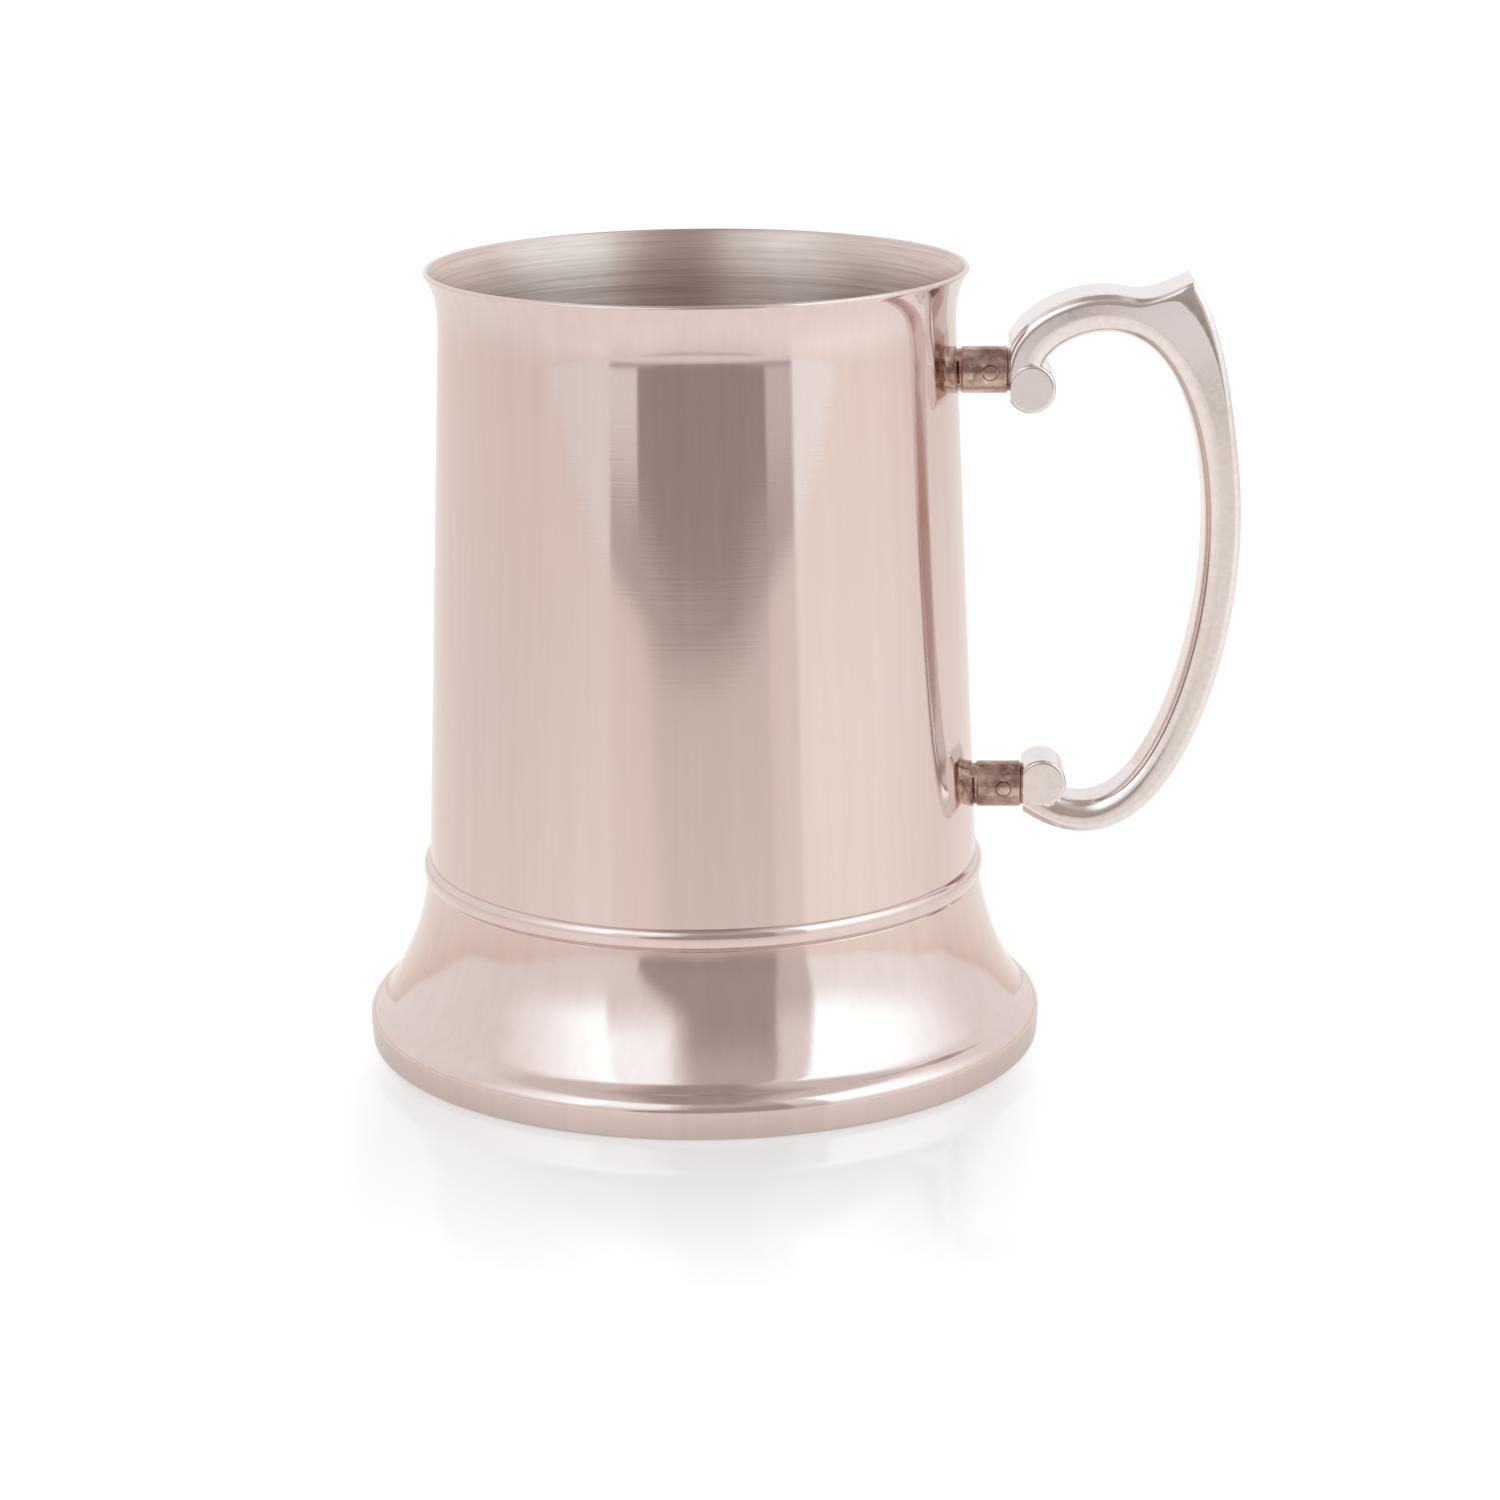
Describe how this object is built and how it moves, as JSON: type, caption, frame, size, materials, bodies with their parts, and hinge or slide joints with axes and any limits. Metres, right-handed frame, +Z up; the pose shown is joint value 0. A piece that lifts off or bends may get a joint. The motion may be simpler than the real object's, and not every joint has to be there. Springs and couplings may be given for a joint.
{
  "type": "tankard",
  "caption": "Lidless drinking tankard with a leaning straight side, flared lip, bell-shaped foot, seam bead and a cast scroll handle held on short ferrules.",
  "frame": {"origin": "centre of the ring that the foot stands on, in the plane of the table", "axes": "+Z up through the open mouth, +X towards the handle, Y across the handle"},
  "size_m": [0.1396, 0.1088, 0.125],
  "materials": {
    "polished_shell": "polished",
    "satin_well": "satin",
    "bright_handle": "polished",
    "heat_tinted_ferrule": "satin",
    "heat_tinted_pin": "satin"
  },
  "bodies": {
    "root": {"body_wall": "polished_shell", "cup_bottom": "satin_well", "foot_skirt": "polished_shell", "seam_bead": "polished_shell", "base_plate": "satin_well", "upper_ferrule": "heat_tinted_ferrule", "lower_ferrule": "heat_tinted_ferrule", "handle": "bright_handle", "upper_pin": "heat_tinted_pin", "lower_pin": "heat_tinted_pin"}
  },
  "joints": []
}
